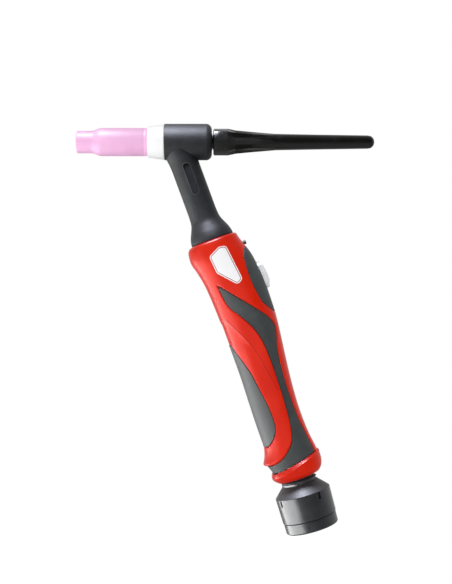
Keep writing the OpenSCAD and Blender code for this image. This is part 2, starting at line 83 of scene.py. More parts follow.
# ---- Camera ----
# The torch is seen square from its near side, from 0.8 m away. A 74 mm lens on a 36 mm sensor takes
# in the head at the top and the cable joint at the bottom.
scene = bpy.context.scene
mm = 0.001
view_distance = 800 * mm
view_middle = Vector((-18.9, 0, 41.2)) * mm

camera = bpy.data.objects.new("camera", bpy.data.cameras.new("camera"))
scene.collection.objects.link(camera)
camera.data.sensor_width = 36
camera.data.lens = 74.24
camera.location = view_middle + Vector((0, -view_distance, 0))
camera.rotation_euler = (math.radians(90), 0, 0)
scene.camera = camera


# ---- Studio ----
# A white light tent. Wide lamps on the left, above and in front light the torch evenly. A long low softbox on
# the left brightens its left edges, and a small one above them draws the highlight on the head. Glossy
# surfaces see the white wall behind the torch and a dark room round the camera.
scene.view_settings.view_transform = "Standard"


def softbox(name, azimuth, elevation, size, radiance, distance=0.9, colour=(1, 1, 1)):
    """A rectangular lamp that faces the torch. Azimuth 0 is at the camera and 90 is on the left."""
    lamp = bpy.data.lights.new(name, "AREA")
    lamp.shape = "RECTANGLE"
    lamp.size, lamp.size_y = size
    lamp.energy = radiance * math.pi * size[0] * size[1]
    lamp.color = colour
    box = bpy.data.objects.new(name, lamp)
    scene.collection.objects.link(box)
    turn, rise = math.radians(azimuth), math.radians(elevation)
    way = Vector((-math.sin(turn) * math.cos(rise), -math.cos(turn) * math.cos(rise), math.sin(rise)))
    box.location = view_middle + way * distance
    box.rotation_euler = (-way).to_track_quat("-Z", "Y").to_euler()
    box.visible_camera = False
    return box


softbox("left_softbox", 80, -36, (1.3, 0.46), 11, 0.74).visible_diffuse = False
softbox("left_glow", 60, 0, (0.6, 0.6), 2.3).visible_glossy = False
softbox("top_softbox", 46, 66, (0.3, 0.2), 260, colour=(0.82, 0.85, 1)).visible_diffuse = False
softbox("top_glow", 0, 70, (0.6, 0.6), 1.7).visible_glossy = False
softbox("front_glow", 0, -6, (1, 1), 2.4, 1.2).visible_glossy = False


class Signal:
    """One output of a node. Sums and products of signals add their Math nodes."""

    def __init__(self, nodes, socket):
        self.nodes = nodes
        self.socket = socket

    def math(self, operation, *values):
        inputs = {i: v for i, v in enumerate((self, *values))}
        return self.nodes.node("ShaderNodeMath", {"operation": operation}, inputs)

    def __add__(self, other):
        return self.math("ADD", other)

    def __mul__(self, other):
        return self.math("MULTIPLY", other)

    def __sub__(self, other):
        return self.math("SUBTRACT", other)

    def __rsub__(self, other):
        return (self * -1).math("ADD", other)

    def __pow__(self, other):
        return self.math("POWER", other)

    __radd__ = __add__
    __rmul__ = __mul__

    def rising(self, low, high):
        """0 below low, 1 above high, and smooth between them."""
        inputs = {"Value": self, "From Min": low, "From Max": high}
        return self.nodes.node("ShaderNodeMapRange", {"interpolation_type": "SMOOTHSTEP"}, inputs)


class Nodes:
    """A node tree, and the one way in which a node is added to it."""

    def __init__(self, tree):
        self.tree = tree

    def put(self, socket, value):
        if isinstance(value, Signal):
            self.tree.links.new(value.socket, socket)
        elif socket.type == "RGBA":
            socket.default_value = (*value, 1)
        else:
            socket.default_value = value

    def node(self, kind, settings, inputs, output=0):
        made = self.tree.nodes.new(kind)
        for name, value in settings.items():
            setattr(made, name, value)
        for name, value in inputs.items():
            self.put(made.inputs[name], value)
        return Signal(self, made.outputs[output])


class Finish(Nodes):
    """A principled material. Its patterns lie on the object's own coordinates."""

    def __init__(self, name, **constants):
        self.material = bpy.data.materials.new(name)
        self.material.use_nodes = True
        super().__init__(self.material.node_tree)
        self.surface = self.tree.nodes["Principled BSDF"]
        self.place = self.node("ShaderNodeTexCoord", {}, {}, "Object")
        self.set(**constants)

    def set(self, **values):
        for name, value in values.items():
            self.put(self.surface.inputs[name.replace("_", " ")], value)

    def noise(self, size, detail=2.0, rough=0.5):
        """Noise of lumps about this many metres across, from 0 to 1."""
        inputs = {"Vector": self.place, "Scale": 1 / size, "Detail": detail, "Roughness": rough}
        return self.node("ShaderNodeTexNoise", {}, inputs)

    def mix(self, share, a, b):
        """Colour a where share is 0, and colour b where it is 1."""
        share_socket, a_socket, b_socket, colour = 0, 6, 7, 2
        inputs = {share_socket: share, a_socket: a, b_socket: b}
        return self.node("ShaderNodeMix", {"data_type": "RGBA"}, inputs, colour)

    def bump(self, height, depth):
        """A normal that stands for this height, times this depth in metres."""
        return self.node("ShaderNodeBump", {}, {"Height": height, "Distance": depth, "Strength": 1.0})

    def attribute(self, name):
        """A number that the mesh carries at its points."""
        return self.node("ShaderNodeAttribute", {"attribute_name": name}, {}, "Fac")

    def along(self, frame):
        """How far a point lies from a frame's origin along its three axes, in millimetres."""
        local = self.node("ShaderNodeMapping", {"vector_type": "TEXTURE"}, {
            "Vector": self.place, "Location": frame.translation, "Rotation": frame.to_euler(),
            "Scale": (mm, mm, mm)})
        return [self.node("ShaderNodeSeparateXYZ", {}, {"Vector": local}, axis) for axis in "XYZ"]


world = bpy.data.worlds.new("room")
scene.world = world
world.use_nodes = True
room = Nodes(world.node_tree)
camera_ray = room.node("ShaderNodeLightPath", {}, {}, "Is Camera Ray")
clear_ray = room.node("ShaderNodeLightPath", {}, {}, "Is Transmission Ray")
heading = room.node("ShaderNodeTexCoord", {}, {}, "Generated")
to_the_back = room.node("ShaderNodeSeparateXYZ", {}, {"Vector": heading}, "Y")
dark_room, white_wall = 0.05, 0.9
wall_glow = room.node("ShaderNodeMapRange", {}, {
    "Value": to_the_back, "From Min": -0.7, "From Max": 0.2, "To Min": dark_room, "To Max": white_wall})
backdrop = room.tree.nodes["Background"].inputs
room.put(backdrop["Color"], (1, 1, 1))
room.put(backdrop["Strength"], camera_ray.math("MAXIMUM", clear_ray).math("MAXIMUM", wall_glow))

floor_below = 0.7
bpy.ops.object.select_all(action="DESELECT")
bpy.ops.mesh.primitive_plane_add(size=8, location=(0, 0, cad_box[0][2] - floor_below))
floor = bpy.context.active_object
floor.name = "floor"
paper = Finish("white_paper", Base_Color=(0.7, 0.7, 0.7), Roughness=0.9)
paper_white = paper.node("ShaderNodeEmission", {}, {"Strength": 1.08})
share_of_white = paper.node("ShaderNodeLightPath", {}, {}, "Is Camera Ray") * 0.9
paper_shaded = Signal(paper, paper.surface.outputs["BSDF"])
paper_seen = paper.node("ShaderNodeMixShader", {}, {0: share_of_white, 1: paper_shaded, 2: paper_white})
paper.put(paper.tree.nodes["Material Output"].inputs["Surface"], paper_seen)
floor.data.materials.append(paper.material)

# ---- Gas nozzle ----
# The stepped cup of fired pink alumina, turned and glazed by its firing. It screws onto the collet
# body, so only its own edges are rounded.
joints = {joint["name"]: joint for joint in frame["joints"]}
head_middle = Vector(joints["back_cap_turn"]["pos_m"])
head_axis = Vector(joints["back_cap_turn"]["axis"])
near_side = Vector((0, -1, 0))


def frame_of(middle, axis):
    """Local +Z runs along the axis, and local -Y faces the near side."""
    across = (-near_side).cross(axis).normalized()
    turn = Matrix((across, -near_side, axis)).transposed().to_4x4()
    return Matrix.Translation(middle) @ turn


on_head = frame_of(head_middle, head_axis)


def rounded(corners, steps=5):
    """The closed line round these corners, (radius, distance, rounding), with an arc at each."""
    line = []
    for i, (x, y, rounding) in enumerate(corners):
        corner = Vector((x, y))
        if not rounding:
            line.append(corner)
            continue
        back = (Vector(corners[i - 1][:2]) - corner).normalized()
        on = (Vector(corners[(i + 1) % len(corners)][:2]) - corner).normalized()
        half = back.angle(on) / 2
        middle = corner + (back + on).normalized() * rounding / math.sin(half)
        start = corner + back * rounding / math.tan(half) - middle
        end = corner + on * rounding / math.tan(half) - middle
        turn = start.angle_signed(end)
        for k in range(steps + 1):
            line.append(middle + Matrix.Rotation(-turn * k / steps, 2) @ start)
    return line


def new_piece(name, points, edges=(), faces=()):
    """A new object from points in millimetres."""
    mesh = bpy.data.meshes.new(name)
    mesh.from_pydata([Vector(p) * mm for p in points], edges, faces)
    piece = bpy.data.objects.new(name, mesh)
    scene.collection.objects.link(piece)
    return piece


def select_only(*pieces):
    bpy.ops.object.select_all(action="DESELECT")
    for piece in pieces:
        piece.select_set(True)
    bpy.context.view_layer.objects.active = pieces[0]


def edit(piece):
    select_only(piece)
    bpy.ops.object.mode_set(mode="EDIT")
    bpy.ops.mesh.select_all(action="SELECT")


def finish_edit():
    bpy.ops.object.mode_set(mode="OBJECT")


def turned(name, line, place, sides=96):
    """Spins a closed line of (radius, distance along the axis) about the axis."""
    count = len(line)
    points = [(r, 0, s) for r, s in line]
    piece = new_piece(name, points, [(i, (i + 1) % count) for i in range(count)])
    edit(piece)
    bpy.ops.mesh.spin(steps=sides, angle=math.tau, center=(0, 0, 0), axis=(0, 0, 1))
    bpy.ops.mesh.remove_doubles(threshold=0.000002)
    bpy.ops.mesh.normals_make_consistent(inside=False)
    finish_edit()
    piece.data.transform(place)
    return piece


def along_head(node):
    """Where a node starts and ends along the head, in millimetres from the neck's axis."""
    low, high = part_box(node)
    return (low.x - head_middle.x) / mm, (high.x - head_middle.x) / mm


cup_front, cup_rear = along_head("gas_nozzle")
cup_mouth_r, cup_rear_r, cup_bore_r, cup_thread_r = 7.4, 9.3, 5.55, 6.3
flare_from, flare_to = cup_front + 9.4, cup_front + 16.6
flare = []
for k in range(13):
    swing = 0.5 - 0.5 * math.cos(math.pi * k / 12)
    flare.append((cup_mouth_r + (cup_rear_r - cup_mouth_r) * swing,
                  flare_from + (flare_to - flare_from) * k / 12, 0))
cup_line = rounded([(cup_bore_r, cup_front, 0.4), (cup_mouth_r, cup_front, 0.7), *flare,
                    (cup_rear_r, cup_rear - 2.3, 0), (cup_rear_r - 0.12, cup_rear - 2.1, 0),
                    (cup_rear_r, cup_rear - 1.9, 0), (cup_rear_r, cup_rear, 1.2),
                    (cup_thread_r, cup_rear, 0.2), (cup_thread_r, cup_front + 18, 0),
                    (cup_bore_r, cup_front + 16, 0)])
gas_nozzle = turned("ceramic_cup", cup_line, on_head)


def clothe(piece, finish):
    """Gives a piece its one material."""
    piece.data.materials.clear()
    piece.data.materials.append(finish.material)


def dress(piece, finish, smooth_angle=35):
    """Gives a built piece its material, and smooth shading up to an angle."""
    clothe(piece, finish)
    select_only(piece)
    bpy.ops.object.shade_smooth_by_angle(angle=math.radians(smooth_angle))


pink = Finish("pink_alumina", Specular_IOR_Level=0.22)
mottle = pink.noise(0.009, 3)
speck = pink.noise(0.0007, 2)
pink.set(Base_Color=pink.mix(mottle.rising(0.3, 0.7), (0.93, 0.5, 0.79), (0.98, 0.55, 0.85)),
         Roughness=0.45 + 0.12 * mottle,
         Normal=pink.bump(speck, 0.00003))
dress(gas_nozzle, pink)
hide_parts("gas_nozzle")
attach(gas_nozzle, "handle")

# ---- Cup seal ----
# The tapered white seal is turned from heat-resistant plastic. It fills the space between the cup
# and the head, and stands a little proud of the cup.
seal_front, seal_rear = along_head("cup_gasket")
seal_line = rounded([(6.3, seal_front, 0), (10.3, seal_front, 0.4), (11.8, seal_rear - 0.1, 0.35),
                     (6.3, seal_rear - 0.1, 0)])
cup_seal = turned("cup_seal", seal_line, on_head)
white = Finish("white_seal", Roughness=0.5, Specular_IOR_Level=0.2)
seal_tone = white.noise(0.004, 3)
white.set(Base_Color=white.mix(seal_tone.rising(0.3, 0.7), (0.95, 0.96, 0.96), (0.98, 0.98, 0.98)),
          Normal=white.bump(white.noise(0.0006), 0.00002))
dress(cup_seal, white)
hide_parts("cup_gasket")
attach(cup_seal, "handle")

# ---- Collet body, collet, electrode and core ----
# Machined copper, ground tungsten and brass. They are seen only down the cup's mouth, so the
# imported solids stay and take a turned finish.
copper = Finish("turned_copper", Metallic=1.0)
copper_tone = copper.noise(0.003, 3)
copper.set(Base_Color=copper.mix(copper_tone, (0.62, 0.3, 0.17), (0.76, 0.42, 0.27)),
           Roughness=0.25 + 0.2 * copper_tone, Normal=copper.bump(copper.noise(0.0003), 0.00001))
tungsten = Finish("ground_tungsten", Metallic=1.0)
tungsten_tone = tungsten.noise(0.0006, 3)
tungsten.set(Base_Color=tungsten.mix(tungsten_tone, (0.36, 0.36, 0.38), (0.55, 0.55, 0.57)),
             Roughness=0.3 + 0.15 * tungsten_tone)
brass = Finish("machined_brass", Metallic=1.0)
brass_tone = brass.noise(0.004, 3)
brass.set(Base_Color=brass.mix(brass_tone, (0.62, 0.42, 0.15), (0.75, 0.55, 0.24)),
          Roughness=0.28 + 0.15 * brass_tone)
plain_steel = Finish("plain_steel", Metallic=1.0)
steel_tone = plain_steel.noise(0.0008, 3)
plain_steel.set(Base_Color=plain_steel.mix(steel_tone, (0.42, 0.42, 0.44), (0.6, 0.6, 0.62)),
                Roughness=0.25 + 0.2 * steel_tone)
inner_plastic = Finish("inner_black_plastic")
inner_tone = inner_plastic.noise(0.004, 3)
inner_plastic.set(Base_Color=inner_plastic.mix(inner_tone, (0.03, 0.03, 0.032), (0.045, 0.045, 0.048)),
                  Roughness=0.45 + 0.15 * inner_tone)
bearing_white = Finish("white_bearing_plastic")
bearing_tone = bearing_white.noise(0.005, 3)
bearing_white.set(Base_Color=bearing_white.mix(bearing_tone, (0.74, 0.74, 0.7), (0.82, 0.82, 0.79)),
                  Roughness=0.35 + 0.1 * bearing_tone)
inner_finishes = {
    "collet_body": copper, "collet": copper, "power_tube": copper, "water_tube": copper, "gas_tube": copper,
    "tungsten_electrode": tungsten, "head_core": brass, "power_fitting": brass, "hose_tails": brass,
    "micro_switch": inner_plastic, "switch_carrier": inner_plastic, "swivel_liner": bearing_white}
for node, finish in inner_finishes.items():
    clothe(frame["nodes"][node], finish)

# ---- Torch body ----
# One black moulding: the round head with its square front and rounded rear, the neck with a bare
# oblong recess, and the bulb that stands on the handle. The neck runs into the head with a fillet.
handle_up = Vector(joints["swivel_turn"]["axis"])
on_handle = frame_of(head_middle, handle_up)


def down(points):
    """Turns (radius, distance down the handle) into (radius, height)."""
    return [(p[0], -p[1], *p[2:]) for p in points]


def combine(piece, other, operation):
    """Joins another closed piece to this one, or cuts it away, and removes the other."""
    select_only(piece)
    step = piece.modifiers.new("combine", "BOOLEAN")
    step.operation = operation
    step.solver = "EXACT"
    step.object = other
    bpy.ops.object.modifier_apply(modifier=step.name)
    bpy.data.objects.remove(other)


def smooth_line(points, steps):
    """A line through all the points, rounded as a drawn curve."""
    line = []
    last = len(points) - 1
    for i in range(last):
        a, b, c, d = (np.array(points[j], float) for j in (max(i - 1, 0), i, i + 1, min(i + 2, last)))
        for k in range(steps):
            t = k / steps
            line.append(tuple(0.5 * (2 * b + (c - a) * t + (2 * a - 5 * b + 4 * c - d) * t ** 2
                                     + (3 * b - a - 3 * c + d) * t ** 3)))
    return [*line, tuple(points[last])]


head_r, head_front, head_rear = 12.05, -7.9, 23.5
head_line = rounded([(0, head_front, 0), (head_r, head_front, 0.45), (head_r, head_rear, 3.9),
                     (5.9, head_rear, 0.4), (5.9, head_rear - 3, 0), (0, head_rear - 3, 0)], 8)
torch_body = turned("torch_body_moulding", head_line, on_head, 128)

neck_r = 9.5
handle_top = 69.5
neck_side = smooth_line([(10.7, 6), (10.35, 9), (9.95, 12), (9.65, 15), (neck_r, 19), (neck_r, 26)], 3)
bulb_side = smooth_line([(neck_r, 48), (9.6, 51.5), (10.1, 56), (11.7, 60), (13.2, 63.3), (14.2, 66.6),
                         (14.5, 68.9)], 4)
neck_line = down([(0, 6), *neck_side, *bulb_side, (14.2, handle_top - 0.1), (0, handle_top - 0.1)])
combine(torch_body, turned("neck", neck_line, on_handle, 128), "UNION")

recess_l, recess_w, recess_depth = 21.5, 4.6, 0.9
bpy.ops.object.select_all(action="DESELECT")
bpy.ops.mesh.primitive_cylinder_add(vertices=48, radius=recess_w / 2 * mm, depth=4 * mm)
recess = bpy.context.active_object
for v in recess.data.vertices:
    v.co.y += math.copysign((recess_l - recess_w) / 2 * mm, v.co.y)
recess_v, recess_u = 0.6, 26.8
at_recess = on_handle @ Matrix.Translation(Vector((recess_v, 0, -recess_u)) * mm)
recess.data.transform(at_recess @ Matrix.Translation(Vector((0, -neck_r + recess_depth - 2, 0)) * mm)
                      @ Matrix.Rotation(math.radians(90), 4, "X"))
combine(torch_body, recess, "DIFFERENCE")

black = Finish("black_moulding", Specular_IOR_Level=0.27)
moulding = black.noise(0.006, 4)
grain = black.noise(0.0006, 3)
# Painted light round the recess: its floor is painted darker as shade, and a thin band round its rim is
# painted lighter as a highlight.
across, deep, along = black.along(at_recess)
past_end = (along.math("ABSOLUTE") - (recess_l - recess_w) / 2).math("MAXIMUM", 0)
from_middle = (past_end * past_end + across * across) ** 0.5
near_half = 1 - deep.rising(-3, -2)
floor_share = (1 - from_middle.rising(recess_w / 2 - 0.15, recess_w / 2 + 0.05)) * near_half
past_rim = 1 - from_middle.rising(recess_w / 2 + 0.3, recess_w / 2 + 0.6)
painted_rim_highlight = from_middle.rising(recess_w / 2, recess_w / 2 + 0.2) * past_rim * near_half
bare = black.mix(moulding.rising(0.35, 0.75), (0.005, 0.006, 0.007), (0.011, 0.012, 0.014))
with_painted_floor_shade = black.mix(floor_share, bare, (0.003, 0.003, 0.005))
black.set(Base_Color=black.mix(painted_rim_highlight, with_painted_floor_shade, (0.05, 0.052, 0.056)),
          Roughness=0.48 + 0.12 * moulding + 0.4 * floor_share,
          Normal=black.bump(grain * (1 + floor_share), 0.00014))
dress(torch_body, black, 30)
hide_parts("torch_body")
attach(torch_body, "handle")

# ---- Back cap and its seal ----
# Glossy black moulding: an eight-sided collar, eight tapered ribs that fade into a slim tube, and a
# domed tip. A rubber ring seals its shank in the head.
cap_front, cap_tip = 24.5, 131.4
collar_r, collar_end = 8.9, 34.2
tube_r, tip_r = 6.0, 4.3
shank_r = 5.15


star_points = 16


def star(crest, hollow, s):
    """Sixteen points: eight rib crests and the eight hollows between them."""
    ring = []
    for k in range(star_points):
        angle = math.tau * k / star_points
        r = crest if k % 2 == 0 else hollow
        ring.append((r * math.cos(angle), r * math.sin(angle), s))
    return ring


flat = math.cos(math.pi / 8)
rings = [star(collar_r - 0.7, (collar_r - 0.7) * flat, cap_front),
         star(collar_r, collar_r * flat, cap_front + 0.6),
         star(collar_r, collar_r * flat, collar_end),
         star(7.75, 6.05, collar_end + 5.3),
         star(6.75, 5.72, collar_end + 16),
         star(5.75, 5.3, collar_end + 28),
         star(4.9, 4.9, collar_end + 38)]


def quads_between(rings, size, closed=False):
    """The faces between rings of this many points. A closed run joins its last ring to its first."""
    quads = []
    for i in range(rings if closed else rings - 1):
        j = (i + 1) % rings
        for k in range(size):
            n = (k + 1) % size
            quads.append([size * i + k, size * i + n, size * j + n, size * j + k])
    return quads


last_ring = star_points * (len(rings) - 1)
faces = [list(range(star_points - 1, -1, -1)), [last_ring + k for k in range(star_points)]]
faces += quads_between(len(rings), star_points)
back_cap = new_piece("long_back_cap", [p for ring in rings for p in ring], faces=faces)
back_cap.data.transform(on_head)
dome = [(tip_r * math.cos(a), cap_tip - 3.9 + 3.9 * math.sin(a)) for a in np.linspace(0.12, math.pi / 2, 9)]
dome[-1] = (0, cap_tip)
tube_line = [(0, cap_front + 3), (tube_r + 0.02, cap_front + 3), (tube_r + 0.02, collar_end + 5),
             (5.72, 52), (5.35, 70), (4.95, 92), (tip_r + 0.12, 127), (tip_r, 127.3), *dome]
combine(back_cap, turned("cap_tube", tube_line, on_head, 96), "UNION")
shank_line = rounded([(0, 11.5, 0), (shank_r, 11.5, 0.3), (shank_r, 22.1, 0), (4.2, 22.1, 0), (4.2, 24.1, 0),
                      (shank_r, 24.1, 0), (shank_r, cap_front + 1, 0), (0, cap_front + 1, 0)])
combine(back_cap, turned("cap_shank", shank_line, on_head, 64), "UNION")


def soften_edges(piece, width, segments, sharper_than):
    """Rounds the edges that turn by more than some degrees."""
    select_only(piece)
    step = piece.modifiers.new("edges", "BEVEL")
    step.width = width * mm
    step.segments = segments
    step.limit_method = "ANGLE"
    step.angle_limit = math.radians(sharper_than)
    bpy.ops.object.modifier_apply(modifier=step.name)


soften_edges(back_cap, 0.22, 2, 14)

gloss_black = Finish("gloss_black", Specular_IOR_Level=0.25)
smear = gloss_black.noise(0.012, 3)
gloss_black.set(Base_Color=gloss_black.mix(smear, (0.005, 0.005, 0.005), (0.009, 0.009, 0.008)),
                Roughness=0.14 + 0.1 * smear.rising(0.4, 0.8),
                Normal=gloss_black.bump(gloss_black.noise(0.006, 2), 0.00003))
dress(back_cap, gloss_black, 14)
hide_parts("back_cap")
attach(back_cap, "back_cap")

bpy.ops.object.select_all(action="DESELECT")
bpy.ops.mesh.primitive_torus_add(major_radius=4.95 * mm, minor_radius=0.75 * mm,
                                 major_segments=72, minor_segments=16)
o_ring = bpy.context.active_object
o_ring.name = "cap_seal_ring"
o_ring.data.transform(on_head @ Matrix.Translation((0, 0, 23.1 * mm)))
rubber = Finish("black_rubber")
rubber.set(Base_Color=rubber.mix(rubber.noise(0.002), (0.012, 0.012, 0.012), (0.022, 0.022, 0.022)),
           Roughness=0.3 + 0.15 * rubber.noise(0.001))
dress(o_ring, rubber)
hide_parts("cap_o_ring")
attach(o_ring, "back_cap")

# ---- Red handle shells ----
# Two glossy red mouldings, near and far, meet in the plane of the torch. They stand above the soft
# inlays, so their edges roll over into narrow grooves, and a soft crease runs down each side.

# Rows down the handle: the distance from the head, the front edge, the back edge and half the depth.
red_rows = [(69.5, -14.9, 14.9, 14.6), (69.7, -15.8, 15.5, 15.2), (70.5, -17.0, 16.4, 16.0),
            (73, -18.4, 16.9, 16.7), (79.5, -18.9, 19, 17.4), (86.3, -17.2, 21.1, 17.8),
            (94.5, -15.6, 22.3, 18), (103, -14.8, 23.2, 18), (116, -14.2, 23.1, 17.7),
            (130, -14, 22.5, 17.2), (143, -13.9, 21, 16.6), (160, -14, 18.7, 16.2),
            (176, -14.6, 16.8, 15.9), (192, -15.2, 15.6, 15.8), (205, -15.4, 15.6, 16),
            (209, -15.5, 15.8, 16.1), (213, -16.2, 16.1, 16.4), (217, -17.7, 16.6, 16.7),
            (220.3, -19.5, 17, 17), (220.9, -19.9, 17.1, 17), (221.4, -19.6, 17.1, 17),
            (222.9, -17.9, 17.2, 17), (224.5, -17.4, 17.3, 17), (231, -16.4, 17.4, 17)]
# Edges on the skin: the distance towards the trigger and the distance down the handle.
inlay_front = [(-7.8, 98.8), (-6.8, 109.6), (-4.8, 116.2), (-0.4, 122.8), (5, 132.8), (7.8, 142.8),
               (8.6, 156), (8.3, 172.6), (7.6, 185.9), (6.3, 199.2), (3.6, 210.1), (-1.4, 216.2),
               (-7.4, 220.2), (-14.4, 222.4)]
inlay_back = [(15.5, 223.2), (15, 217), (14.1, 209.2), (13.1, 199.2), (12.9, 185.9), (13.3, 172.6),
              (14.5, 159.4), (16.3, 149.4), (18.4, 142.8), (19.7, 136.1), (17.5, 129.5), (12.6, 122.8),
              (4.3, 112.9), (-2, 105.4), (-7.8, 98.8)]
pad_edge = [(-13.4, 138.4), (-12, 142.8), (-9.8, 149.4), (-7, 159.4), (-5, 172.6), (-3.4, 185.9),
            (-3.4, 195.9), (-4.6, 201), (-7.8, 205.8), (-12.7, 209.6)]
trigger_edge = [(20.5, 78.8), (19.1, 80.6), (16.1, 85.2), (15.3, 89.6), (14.7, 97.5), (14.7, 104.8),
                (15.6, 112.3), (16.6, 118.1), (18.6, 122.4), (22.4, 127.9), (23.6, 129.6)]
squareness = 2.3
groove = 0.25
beyond = 30


def ring_edge(v):
    """How far down the end ring's slanted top edge lies."""
    return 228.9 - 6.1 * (v + 18.5) / 37


inlay_outline = [*smooth_line(inlay_front, 6), (-beyond, 224.6), (-beyond, ring_edge(-beyond)),
                 *smooth_line(inlay_back, 6)[:-1]]
pad_outline = [*smooth_line(pad_edge, 6), (-beyond, 211), (-beyond, 137)]
trigger_outline = [*smooth_line(trigger_edge, 6), (beyond, 130.6), (beyond, 75)]


class Surface:
    """The handle's skin through some rows, and points on it in the handle's own frame."""

    def __init__(self, rows):
        self.rows = np.array(smooth_line(rows, 8))

    def at(self, u):
        front, back, depth = (np.interp(u, self.rows[:, 0], self.rows[:, i]) for i in (1, 2, 3))
        return (front + back) / 2, (back - front) / 2, depth

    def around(self, u, angle):
        middle, half, depth = self.at(u)
        cos, sin = np.cos(angle), np.sin(angle)
        power = 2 / squareness
        return np.stack([middle + half * np.sign(cos) * np.abs(cos) ** power,
                         depth * np.sign(sin) * np.abs(sin) ** power, -u + 0 * cos], -1)

    def side(self, v, u, side):
        """The point of the skin that stands over (v, u) on one side."""
        middle, half, depth = self.at(u)
        across = np.clip(np.abs((v - middle) / half), 0, 1)
        return np.stack([middle + half * across * np.sign(v - middle),
                         side * depth * (1 - across ** squareness) ** (1 / squareness), -u], -1)

    def toward_axis(self, points, depth):
        """These points moved towards the handle's axis."""
        middle = self.at(-points[:, 2])[0]
        out = points * 1.0
        out[:, 0] -= middle
        out[:, 2] = 0
        return points - np.reshape(depth, (-1, 1)) * out / np.linalg.norm(out, axis=1)[:, None]


def even_angles(start, end, count):
    """Angles between two, in degrees, that stand evenly round the handle's section."""
    fine = np.radians(np.linspace(start, end, 721))
    usual_section = Surface([(0, -18, 18, 17), (1, -18, 18, 17)])
    ring = usual_section.around(np.full(len(fine), 0.5), fine)
    run = np.concatenate([[0], np.cumsum(np.linalg.norm(np.diff(ring, axis=0), axis=1))])
    return np.interp(np.linspace(0, run[-1], count), run, fine)


def inside(outline, v, u):
    """Which points lie inside an outline."""
    found = np.zeros(len(v), bool)
    for (v1, u1), (v2, u2) in zip(outline, [*outline[1:], outline[0]]):
        if u1 != u2:
            found ^= ((u1 > u) != (u2 > u)) & (v < v1 + (u - u1) * (v2 - v1) / (u2 - u1))
    return found


def distance_in(surface, outline, points):
    """How far inside an outline points of the skin lie, in millimetres along it."""
    line = np.array([*outline, outline[0]])
    longest_step = 0.6
    steps = [np.linspace(0, 1, max(2, int(np.linalg.norm(b - a) / longest_step) + 1))[:-1]
             for a, b in zip(line, line[1:])]
    line = np.concatenate([a + (b - a) * t[:, None] for a, b, t in zip(line, line[1:], steps)])
    sides = (-1,) if points[:, 1].max() < 0.01 else (-1, 1)
    corners, quads = [], []
    for side in sides:
        foot = surface.side(line[:, 0], line[:, 1], side)
        low, high = surface.toward_axis(foot, 2.5), surface.toward_axis(foot, -2.5)
        first = len(corners) * len(line)
        corners += [low, high]
        for i in range(len(line)):
            n = (i + 1) % len(line)
            quads.append([first + i, first + n, first + len(line) + n, first + len(line) + i])
    wall = BVHTree.FromPolygons(np.concatenate(corners).tolist(), quads)
    away = np.array([wall.find_nearest(p)[3] for p in points.tolist()])
    return np.where(inside(outline, points[:, 0], -points[:, 2]), away, -away)


def split_at(bm, layer, level, other):
    """Cuts the faces of a sheet along one level of a layer, and carries the other layer along."""
    on_level = set()
    close = 0.004
    for edge in list(bm.edges):
        a, b = edge.verts
        low, high = a[layer] - level, b[layer] - level
        if abs(low) < close:
            on_level.add(a)
        elif abs(high) > close and low * high < 0:
            t = low / (low - high)
            carried = a[other] + (b[other] - a[other]) * t
            made = bmesh.utils.edge_split(edge, a, t)[1]
            made[layer], made[other] = level, carried
            on_level.add(made)
    on_level |= {vert for vert in bm.verts if abs(vert[layer] - level) < close}
    for face in list(bm.faces):
        on = [v for v in face.verts if v in on_level]
        if len(on) == 2 and not bm.edges.get(on):
            bmesh.utils.face_split(face, *on)


def cut_sheet(surface, span, angles, reach, roll, levels=(0, 0.08, 0.25, 0.5, 1), line=None):
    """The part of the skin where reach(points) is above nought, cut again at shares of roll(points)
    and where line(points) is nought.

    Gives its points, its faces and how far each point is from the edge, as a share of the roll."""
    row_height = 0.85
    us = np.linspace(*span, int((span[1] - span[0]) / row_height))
    grid = surface.around(np.repeat(us, len(angles)), np.tile(angles, len(us)))
    wide = len(angles)
    bm = bmesh.new()
    share_of = bm.verts.layers.float.new("share")
    line_of = bm.verts.layers.float.new("line")
    shares = reach(grid) / roll(grid)
    lines = line(grid) if line else np.ones(len(grid))
    verts = [bm.verts.new(p) for p in grid]
    for vert, share, value in zip(verts, shares, lines):
        vert[share_of], vert[line_of] = share, value
    for i in range(len(us) - 1):
        for k in range(wide - 1):
            corner, below = i * wide + k, (i + 1) * wide + k
            corners = [verts[j] for j in (corner, below, below + 1, corner + 1)]
            if max(c[share_of] for c in corners) > 0:
                bm.faces.new(corners)
    bmesh.ops.delete(bm, geom=[v for v in bm.verts if not v.link_faces], context="VERTS")
    if line:
        split_at(bm, line_of, 0, share_of)
    for level in levels:
        split_at(bm, share_of, level, line_of)
        if level == levels[0]:
            out = [f for f in bm.faces if sum(v[share_of] for v in f.verts) / len(f.verts) < 0]
            bmesh.ops.delete(bm, geom=out, context="FACES")
    bm.verts.index_update()
    points = np.array([v.co for v in bm.verts])
    faces = [[v.index for v in f.verts] for f in bm.faces]
    shares = np.array([v[share_of] for v in bm.verts])
    bm.free()
    return points, faces, shares


def face_outwards(piece):
    edit(piece)
    bpy.ops.mesh.normals_make_consistent(inside=False)
    finish_edit()


